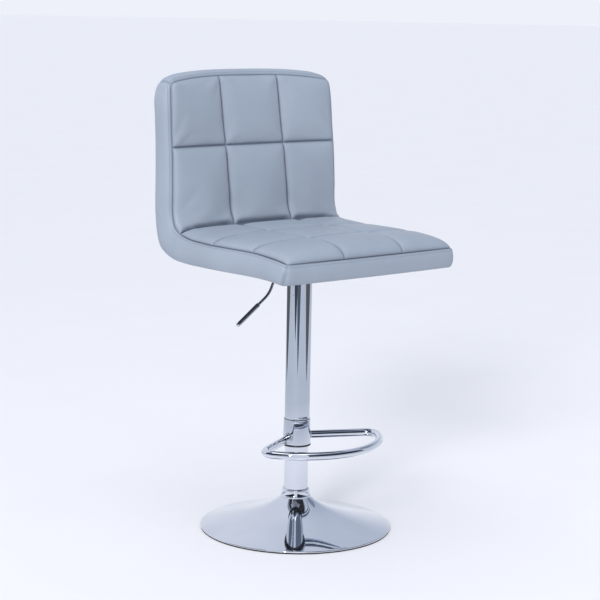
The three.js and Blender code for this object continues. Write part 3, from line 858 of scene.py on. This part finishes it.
def boxing_seams(seam_edge):
    """Where the boxing's own cross seams are: 1 on them and 0 elsewhere, round the outline."""
    value = np.zeros(len(seam_edge))
    top_y, top_z = SEAM_SIDE[-1]
    for side in (-1, 1):
        for place in ((SEAM_WIDTH, *SEAM_SIDE[0]), (SEAM_WIDTH_TOP, top_y, top_z - 5 * MM)):
            corner = np.array(place) * (side, 1, 1)
            value[np.argmin(np.linalg.norm(seam_edge - corner, axis=1))] = 1
    return value


def boxing_shade(row, seam_edge, joined):
    """How much painted shade a loop of the boxing gets: near the border seam and on its own cross seams."""
    from_seam = np.linalg.norm(row - seam_edge, axis=1)
    return np.maximum(0.6 * np.exp(-from_seam / (1.3 * MM)), 0.5 * joined)


def make_body():
    """The foam-covered body: boxing all round, rear cover and the bed that carries the quilted pads."""
    seam, rear, loop, seam_edge, rear_edge, outward = make_body_arrays()
    joined = boxing_seams(seam_edge)
    rows = boxing_rows(seam_edge, rear_edge, outward)
    rows[1:-1] = [row - outward * joined[:, None] * SEAM_DENT for row in rows[1:-1]]
    thick = unit(seam_edge - rear_edge)
    groove = [
        seam_edge - outward * 1.6 * MM + thick * 0.2 * MM,
        seam_edge - outward * 2.6 * MM - thick * 2.6 * MM,
    ]
    belt = rows[1:] + groove
    normal = unit(np.cross(np.gradient(seam, axis=1), np.gradient(seam, axis=0)))
    bed = seam - normal * 8 * MM
    bed[..., 0] *= 0.985

    count = len(bed.reshape(-1, 3))
    vertices = np.concatenate([bed.reshape(-1, 3), opening_recess(rear).reshape(-1, 3), *belt])
    # Painted shade: full on the bed that shows in the gaps and in the groove under the pads' edge, none on
    # the rear cover, and fading across the boxing from the border seam.
    beside = [boxing_shade(row, seam_edge, joined) for row in rows[1:]]
    shade = np.concatenate([np.ones(count), np.zeros(count), *beside, np.ones(len(groove) * len(loop))])
    bed_index = np.arange(count).reshape(seam.shape[:2])
    back_index = bed_index + count
    belt_index = 2 * count + np.arange(len(belt) * len(loop)).reshape(len(belt), -1)
    faces = grid_faces(bed_index) + grid_faces(back_index)
    rings = [[back_index[place] for place in loop], *belt_index, [bed_index[place] for place in loop]]
    for first, second in zip(rings, rings[1:]):
        faces += band(first, second)
    body = mesh_object("upholstery_body", vertices, faces, 180)
    return finish_padding(body, shade), rows, outward


def finish_padding(obj, painted_seam_shade):
    # Keeps the painted seam shade in the seam attribute, which darkens the leatherette.
    attribute = obj.data.attributes.new("seam", "FLOAT", "POINT")
    attribute.data.foreach_set("value", painted_seam_shade.astype(np.float32))
    modifier = obj.modifiers.new("round", "SUBSURF")
    modifier.levels = modifier.render_levels = 1
    apply_modifiers(obj)
    for polygon in obj.data.polygons:
        polygon.use_smooth = True
    return obj


def apply_modifiers(obj):
    """Replaces an object's mesh by what its modifiers make of it."""
    bpy.context.view_layer.update()
    graph = bpy.context.evaluated_depsgraph_get()
    evaluated = obj.evaluated_get(graph)
    data = bpy.data.meshes.new_from_object(evaluated, preserve_all_data_layers=True, depsgraph=graph)
    obj.modifiers.clear()
    obj.data = data


def rounding(distance, reach):
    """Quarter-round rise from 0 at a seam to 1 at reach from it."""
    t = 1 - clamp(distance / reach)
    return np.sqrt(clamp(1 - t**2.2))


def nearest(values, seams):
    """The distance from each value to the nearest seam."""
    return np.min([np.abs(values - s) for s in seams], axis=0)


def inflate(start, pinned, pressure, most):
    """Blows the panels up with the cloth simulation, and limits how far a point may move."""
    rows, columns = start.shape[:2]
    index = np.arange(rows * columns).reshape(rows, columns)
    data = bpy.data.meshes.new("inflating")
    data.from_pydata([tuple(v) for v in start.reshape(-1, 3)], [], grid_faces(index))
    work = link(bpy.data.objects.new("inflating", data))
    group = work.vertex_groups.new(name="seams")
    group.add([int(k) for k in np.flatnonzero(pinned.ravel())], 1.0, "REPLACE")
    modifier = work.modifiers.new("cloth", "CLOTH")
    settings = modifier.settings
    settings.quality = 6
    settings.mass = 0.4
    settings.tension_stiffness = settings.compression_stiffness = 18
    settings.shear_stiffness = 6
    settings.bending_stiffness = 0.8
    settings.use_pressure = True
    settings.uniform_pressure_force = pressure
    settings.vertex_group_mass = "seams"
    settings.shrink_min = -0.001
    settings.effector_weights.gravity = 0
    modifier.collision_settings.use_collision = False
    modifier.collision_settings.use_self_collision = False
    scene = bpy.context.scene
    for number in range(1, 21):
        scene.frame_set(number)
    evaluated = work.evaluated_get(bpy.context.evaluated_depsgraph_get())
    points = np.zeros(rows * columns * 3, np.float32)
    evaluated.data.vertices.foreach_get("co", points)
    scene.frame_set(1)
    bpy.data.objects.remove(work)
    moved = points.reshape(rows, columns, 3).astype(float) - start
    distance = np.linalg.norm(moved, axis=-1, keepdims=True)
    return start + moved * np.minimum(1, most / np.maximum(distance, 1e-9))


def quilted_pad(name, base, height, inner, border, pressure, most):
    """A closed pad: a quilted face over a base surface, and a flat back 10 mm behind it."""
    normal = unit(np.cross(np.gradient(base, axis=1), np.gradient(base, axis=0)))
    start = base + normal * height[..., None]
    pinned = np.minimum(inner, border) < 0.05 * MM
    face = inflate(start, pinned, pressure, most)
    notch = 1.2 * MM * np.exp(-(inner / (1.4 * MM)) ** 2)
    face = face - normal * notch[..., None]
    rear = base - normal * 10 * MM
    rows, columns = base.shape[:2]
    index = np.arange(rows * columns).reshape(rows, columns)
    under = index + rows * columns
    loop = boundary(rows, columns)
    faces = grid_faces(index) + grid_faces(under)
    faces += band([index[place] for place in loop], [under[place] for place in loop])
    vertices = np.concatenate([face.reshape(-1, 3), rear.reshape(-1, 3)])
    pad = mesh_object(name, vertices, faces, 180)
    # Painted shade: darkest in the quilting seams, lighter along the border seam, and full on the flat back.
    shade = np.maximum(np.exp(-inner / (1.8 * MM)), 0.55 * np.exp(-border / (1.2 * MM))).ravel()
    return finish_padding(pad, np.concatenate([shade, np.ones(rows * columns)]))


def fall(x, edge):
    """1 across the middle of a pad, rounding down to 0 at its side edges."""
    return clamp(1 - np.abs(x / edge) ** 3) ** 0.5


def make_seat_pad():
    """Three by three quilts that roll over the front and side edges to the border seam."""
    rear_edge = CREASE_Y + 12 * MM
    front = SEAT_FRONT - 8 * MM
    y_lines = panel_lines([front, *SEAT_CROSS, rear_edge], [22, 22, 22])
    edge = SEAM_WIDTH - BORDER
    x_lines = panel_lines([-edge, -QUILT_X, QUILT_X, edge], [26, 26, 26])
    flat_x, flat_y = np.meshgrid(x_lines, y_lines)
    x, y = squeeze_corners(flat_x, flat_y, edge, front, rear_edge, 8 * MM, 0)

    line, _ = curve_through(SEAM_SIDE)
    seat_part = line[: np.argmax(line[:, 0] > rear_edge + 4 * MM)]
    border = np.interp(y, seat_part[:, 0], seat_part[:, 1])
    middle = np.interp(y, [front, 0, rear_edge], [CREASE_Z - 10 * MM, CREASE_Z - 10 * MM, CREASE_Z - 7 * MM])
    shoulder = -60 * MM  # the seat rolls down from here to its front edge
    ahead = clamp((shoulder - y) / (shoulder - front))
    roll = clamp(1 - ahead**4) ** 0.5
    z = border + (middle - border) * fall(x, edge) * roll
    crease = CREASE_Y - 2 * MM + BOW_BOTTOM * (1 - (x / edge) ** 2)
    z = z - 3.5 * MM * (1 - rounding(crease - y, 8 * MM))
    bow = FRONT_BOW * ahead**2 * (1 - (x / edge) ** 2)
    base = np.stack([x, y - bow, z], axis=-1)

    seam_x = nearest(flat_x, (-QUILT_X, QUILT_X))
    seam_y = nearest(flat_y, SEAT_CROSS)
    side = edge - np.abs(flat_x)
    fore = flat_y - front
    aft = rear_edge - flat_y
    height = 7.0 * MM * rounding(seam_x, 24 * MM) * rounding(seam_y, 22 * MM)
    height = height * rounding(side, 26 * MM) * rounding(fore, 22 * MM) * rounding(crease - y, 12 * MM)
    inner = np.minimum.reduce([seam_x, seam_y, np.maximum(crease - y, 0.1 * MM)])
    outer = np.minimum.reduce([side, fore, aft])
    pad = quilted_pad("seat_quilt", base, height, inner, outer, 3.0, 10 * MM)
    return dress(pad, "leather", "seat", "seat_cushion")


def make_back_pad():
    """Three by two quilts between the crease and the top seam."""
    bottom = CREASE_Z - 17 * MM
    top = seam_at(1.0)[1] - 0.5 * MM
    z_lines = panel_lines([bottom, BACK_CROSS, top], [30, 28])
    x_lines = panel_lines([-1.0, -0.5, 0.5, 1.0], [26, 26, 26])
    flat_u, flat_z = np.meshgrid(x_lines, z_lines)
    share = clamp((flat_z - CREASE_Z) / (top - CREASE_Z))
    edge = SEAM_WIDTH + (SEAM_WIDTH_TOP - SEAM_WIDTH) * share - BORDER
    flat_x = np.where(
        np.abs(flat_u) <= 0.5,
        flat_u / 0.5 * QUILT_X,
        np.sign(flat_u) * (QUILT_X + (np.abs(flat_u) - 0.5) / 0.5 * (edge - QUILT_X)),
    )
    x, z = squeeze_corners(flat_x, flat_z, edge, bottom, top, 0, 12 * MM)

    line, _ = curve_through(SEAM_SIDE)
    back_part = line[np.argmax(line[:, 0] > CREASE_Y):]
    order = np.argsort(back_part[:, 1])
    border = np.interp(z, back_part[order, 1], back_part[order, 0])
    up = clamp((z - CREASE_Z) / (top - CREASE_Z))
    bow = (BOW_BOTTOM + (BOW_TOP - BOW_BOTTOM) * up) * (1 - (x / edge) ** 2)
    seam_x = nearest(flat_x, (-QUILT_X, QUILT_X))
    crease = CREASE_Z - 21 * MM + (11.5 * MM + 7 * MM * rounding(seam_x, 24 * MM)) * fall(x, edge)
    y = border + bow + 2 * MM * (1 - rounding(z - crease, 6 * MM))
    crown = up**7 * arch(x)
    base = np.stack([x, y, z + crown], axis=-1)

    seam_z = np.abs(flat_z - BACK_CROSS)
    side = edge - np.abs(flat_x)
    above = top - flat_z
    foot = flat_z - bottom
    height = 8.5 * MM * rounding(seam_x, 17 * MM) * rounding(seam_z, 17 * MM)
    height = height * rounding(side, 15 * MM) * rounding(above, 14 * MM) * rounding(z - crease, 5 * MM)
    inner = np.minimum.reduce([seam_x, seam_z, np.maximum(z - crease, 0.1 * MM)])
    outer = np.minimum.reduce([side, above, foot])
    pad = quilted_pad("back_quilt", base, height, inner, outer, 2.4, 10 * MM)
    return dress(pad, "leather", "seat", "back_cushion")


def stitch_row(name, path, outward, pitch=4.4 * MM, length=3.0 * MM, radius=0.48 * MM):
    """Short thread stitches laid end to end along a closed path."""
    closed = np.vstack([path, path[:1]])
    facing = np.vstack([outward, outward[:1]])
    run = run_of(closed)
    count = int(run[-1] / pitch)
    vertices, faces = [], []
    ends = ((-0.5, 0.35), (-0.4, 0.85), (-0.15, 1.0), (0.15, 1.0), (0.4, 0.85), (0.5, 0.35))
    angles = round_angles(8)
    for k in range(count):
        middle = (k + 0.5) * run[-1] / count
        behind = place_at((middle - 1 * MM) % run[-1], run, closed)
        ahead = place_at((middle + 1 * MM) % run[-1], run, closed)
        tangent = unit(ahead - behind)
        side = unit(np.cross(tangent, place_at(middle, run, facing)))
        up = np.cross(side, tangent)
        centre = place_at(middle, run, closed) + up * 0.12 * MM
        loops = []
        for share, width in ends:
            loops.append(range(len(vertices), len(vertices) + len(angles)))
            dip = -0.25 * MM * (abs(share) * 2) ** 2
            for angle in angles:
                ring = math.cos(angle) * side + math.sin(angle) * up
                vertices.append(centre + tangent * share * length + ring * radius * width + up * dip)
        faces += skin_faces(loops, False)
    return mesh_object(name, vertices, faces, 60)


def make_stitching(rows, outward):
    """The row of top-stitching on the boxing, beside the border seam."""
    offset = 6 * MM
    path, ahead = [], []
    for across in np.swapaxes(rows[::-1], 0, 1):
        run = run_of(across)
        path.append(place_at(offset, run, across))
        ahead.append(place_at(offset + 1 * MM, run, across))
    path = np.array(path)
    along = np.roll(path, -1, 0) - np.roll(path, 1, 0)
    normal = unit(np.cross(along, np.array(ahead) - path))
    if (normal * outward).sum() < 0:
        normal = -normal
    row = stitch_row("border_stitching", path, normal)
    return dress(row, "leather", "seat", look=THREAD)


def make_upholstery():
    body, rows, outward = make_body()
    dress(body, "leather", "seat", "back_rear_cover")
    make_stitching(rows, outward)
    make_seat_pad()
    make_back_pad()


# ---- Stage: floor, lights, reflection cards and camera ----
WHITE = (0.855, 0.880, 0.947)
CAMERA_PLACE = Vector((-2.2999, -2.6654, 1.0582))  # in front, towards the sitter's right
CAMERA_AZIMUTH = -40.789  # its direction from the stool in degrees round from straight in front


def plain_material(name, colour, glow):
    """A dull, almost even colour that also glows."""
    made, tree, shader = material(name, Roughness=0.9, Specular_IOR_Level=0.1)
    colour_by(tree, shader, noise(tree, 3, 2), [c * 0.985 for c in colour], colour)
    shader.inputs["Emission Color"].default_value = (*glow, 1)
    shader.inputs["Emission Strength"].default_value = 1
    return made


def make_floor():
    """A pale disc so wide that its edge is near the horizon."""
    radius = 90.0
    rim = [(radius * math.cos(t), radius * math.sin(t), 0) for t in round_angles(64)]
    floor = mesh_object("floor", rim, [tuple(range(64))])
    floor.location.z = -0.2 * MM
    paper = (0.70, 0.688, 0.69)
    glow = [c * 0.21 for c in WHITE]
    floor.data.materials.append(plain_material("floor_paint", paper, glow))


def camera_side(azimuth, distance, height):
    """A place round the stool; azimuth 0 is straight towards the camera."""
    angle = math.radians(CAMERA_AZIMUTH + azimuth)
    return Vector((distance * math.sin(angle), -distance * math.cos(angle), height))


def reflection_card(name, corners, colour):
    """A card that only reflections see."""
    card = mesh_object(name, corners, [tuple(range(len(corners)))])
    card.data.materials.append(plain_material(name + "_paint", (0, 0, 0), colour))
    card.visible_camera = False
    card.visible_diffuse = False
    card.visible_shadow = False
    card.visible_transmission = False
    return card


def floor_wedge(name, azimuth, half_angle, near, far, level, colour):
    """A dark triangle on the floor, for reflections only, with its tip towards the stool."""
    tip = camera_side(azimuth, near, level)
    left = camera_side(azimuth - half_angle, far, level)
    right = camera_side(azimuth + half_angle, far, level)
    return reflection_card(name, [tip, right, left], colour)


def shaded_floor(name, half_angle, near, far, colour):
    """A sector of floor, for reflections only, that goes from white to colour with distance."""
    turns = np.linspace(-half_angle, half_angle, 13)
    level = 3 * MM
    rim = [camera_side(a, near, level) for a in turns]
    rim += [camera_side(a, far, level) for a in reversed(turns)]
    card = reflection_card(name, rim, colour)
    tree = card.data.materials[0].node_tree
    distance = node(tree, "ShaderNodeVectorMath", operation="LENGTH")
    tree.links.new(object_coordinates(tree), distance.inputs[0])
    away = node(tree, "ShaderNodeMapRange", From_Min=near, From_Max=near + 0.55)
    tree.links.new(distance.outputs["Value"], away.inputs["Value"])
    tone = ramp(tree, away.outputs["Result"], WHITE, colour, 0.0, 1.0)
    tree.links.new(tone, tree.nodes["Principled BSDF"].inputs["Emission Color"])
    return card


def upright_card(name, azimuth, half_angle, distance, bottom, top, colour):
    """A flat card that stands across its azimuth, for reflections only."""
    left, right = azimuth - half_angle, azimuth + half_angle
    places = ((left, bottom), (right, bottom), (right, top), (left, top))
    corners = [camera_side(side, distance, height) for side, height in places]
    return reflection_card(name, corners, colour)


def aimed_light(name, kind, power, colour, place, aim):
    """A light of a kind at a place, turned towards aim."""
    data = bpy.data.lights.new(name, kind)
    data.energy = power
    data.color = colour
    light = link(bpy.data.objects.new(name, data))
    light.location = place
    light.rotation_mode = "QUATERNION"
    light.rotation_quaternion = (Vector(aim) - place).to_track_quat("-Z", "Y")
    return data


def area_light(name, place, aim, size, power, colour):
    data = aimed_light(name, "AREA", power, colour, place, aim)
    data.size = size


def sun_light(name, place, strength, width):
    """A far soft light that shines from place towards the stool; width is its angle in degrees."""
    data = aimed_light(name, "SUN", strength, (0.97, 0.98, 1.0), place, (0, 0, 0.4))
    data.angle = math.radians(width)


def make_sky():
    """White round the horizon, a little darker above it and darker still to the camera's right."""
    world = bpy.data.worlds.new("studio")
    bpy.context.scene.world = world
    world.use_nodes = True
    tree = world.node_tree
    background = tree.nodes["Background"]
    direction = node(tree, "ShaderNodeTexCoord").outputs["Generated"]
    split = node(tree, "ShaderNodeSeparateXYZ")
    tree.links.new(direction, split.inputs["Vector"])
    height = ramp(tree, split.outputs["Z"], (0, 0, 0), (1, 1, 1), 0.06, 0.4)
    white = ramp(tree, split.outputs["Z"], WHITE, WHITE)
    sky = multiply(tree, white, (0.88, 0.90, 0.94), height)
    turned = node(tree, "ShaderNodeVectorMath", operation="DOT_PRODUCT")
    turned.inputs[1].default_value = camera_side(105, 1, 0)
    tree.links.new(direction, turned.inputs[0])
    rightward = ramp(tree, turned.outputs["Value"], (0, 0, 0), (1, 1, 1), 0.0, 0.7)
    shade = combine(tree, "MULTIPLY", rightward, height)
    tree.links.new(multiply(tree, sky, (0.56, 0.61, 0.68), shade), background.inputs["Color"])
    background.inputs["Strength"].default_value = 1.0


def make_lights():
    """A soft key from the camera's left, a top light and a fill from its right."""
    sun_light("key", camera_side(-19, 2.6, 1.6), 1.85, 16)
    area_light("top", camera_side(-20, 0.7, 2.7), (0, 0, 0.6), 1.6, 11, (0.99, 0.99, 1.0))
    area_light("fill", camera_side(50, 3.2, 1.6), (0, 0, 0.5), 1.6, 10, (0.94, 0.97, 1.0))


def make_cards():
    """What the chrome reflects: floor that falls off with distance, dark wedges and upright cards."""
    grey = (0.10, 0.10, 0.10)
    navy = (0.045, 0.07, 0.12)
    near_black = (0.002, 0.006, 0.018)
    dark = (0.012, 0.018, 0.032)
    dim = (0.16, 0.19, 0.25)
    shaded_floor("floor_shade", 150, 0.6, 6.0, (0.55, 0.60, 0.70))
    floor_wedge("floor_wedge_left", -120, 40, 1.38, 5.5, 4 * MM, grey)
    floor_wedge("floor_wedge_middle", -3, 22, 1.5, 6.0, 4 * MM, navy)
    floor_wedge("floor_wedge_right", 86, 34, 1.4, 6.0, 4 * MM, grey)
    floor_wedge("floor_wedge_black", -30, 25, 2.0, 6.0, 5 * MM, near_black)
    for side, azimuth, half_angle in (("left", -52, 39), ("right", 54, 41)):
        upright_card(f"dark_{side}", azimuth, half_angle, 3.4, 0.42, 2.4, dark)
        upright_card(f"dim_{side}", azimuth, half_angle, 3.4, 2.4, 5.2, dim)
    upright_card("grey_back", 128, 16, 2.6, 1.5, 2.6, (0.24, 0.28, 0.36))


def make_camera():
    """A long lens in front of the stool, towards the sitter's right and a little above."""
    data = bpy.data.cameras.new("camera")
    data.lens = 107.3
    data.sensor_width = 36
    data.clip_end = 200
    camera = link(bpy.data.objects.new("camera", data))
    azimuth = math.radians(CAMERA_AZIMUTH - 0.024)  # it points slightly past the column's axis
    pitch = math.radians(9.536)
    roll = math.radians(1.103)
    level = Vector((-math.sin(azimuth), math.cos(azimuth), 0))
    forward = math.cos(pitch) * level + Vector((0, 0, -math.sin(pitch)))
    right = Vector((math.cos(azimuth), math.sin(azimuth), 0))
    up = right.cross(forward)
    across = math.cos(roll) * right + math.sin(roll) * up
    upward = -math.sin(roll) * right + math.cos(roll) * up
    rotation = Matrix((across, upward, -forward)).transposed()
    camera.matrix_world = Matrix.Translation(CAMERA_PLACE) @ rotation.to_4x4()
    bpy.context.scene.camera = camera


def set_tones():
    """Plain display colours."""
    settings = bpy.context.scene.view_settings
    settings.view_transform = "Standard"
    settings.look = "None"
    settings.exposure = 0
    settings.gamma = 1


dress_frame()
make_shell()
make_trim_ring()
make_floor_ring()
make_column()
make_footrest()
make_lever()
make_upholstery()
make_floor()
make_sky()
make_lights()
make_cards()
make_camera()
set_tones()
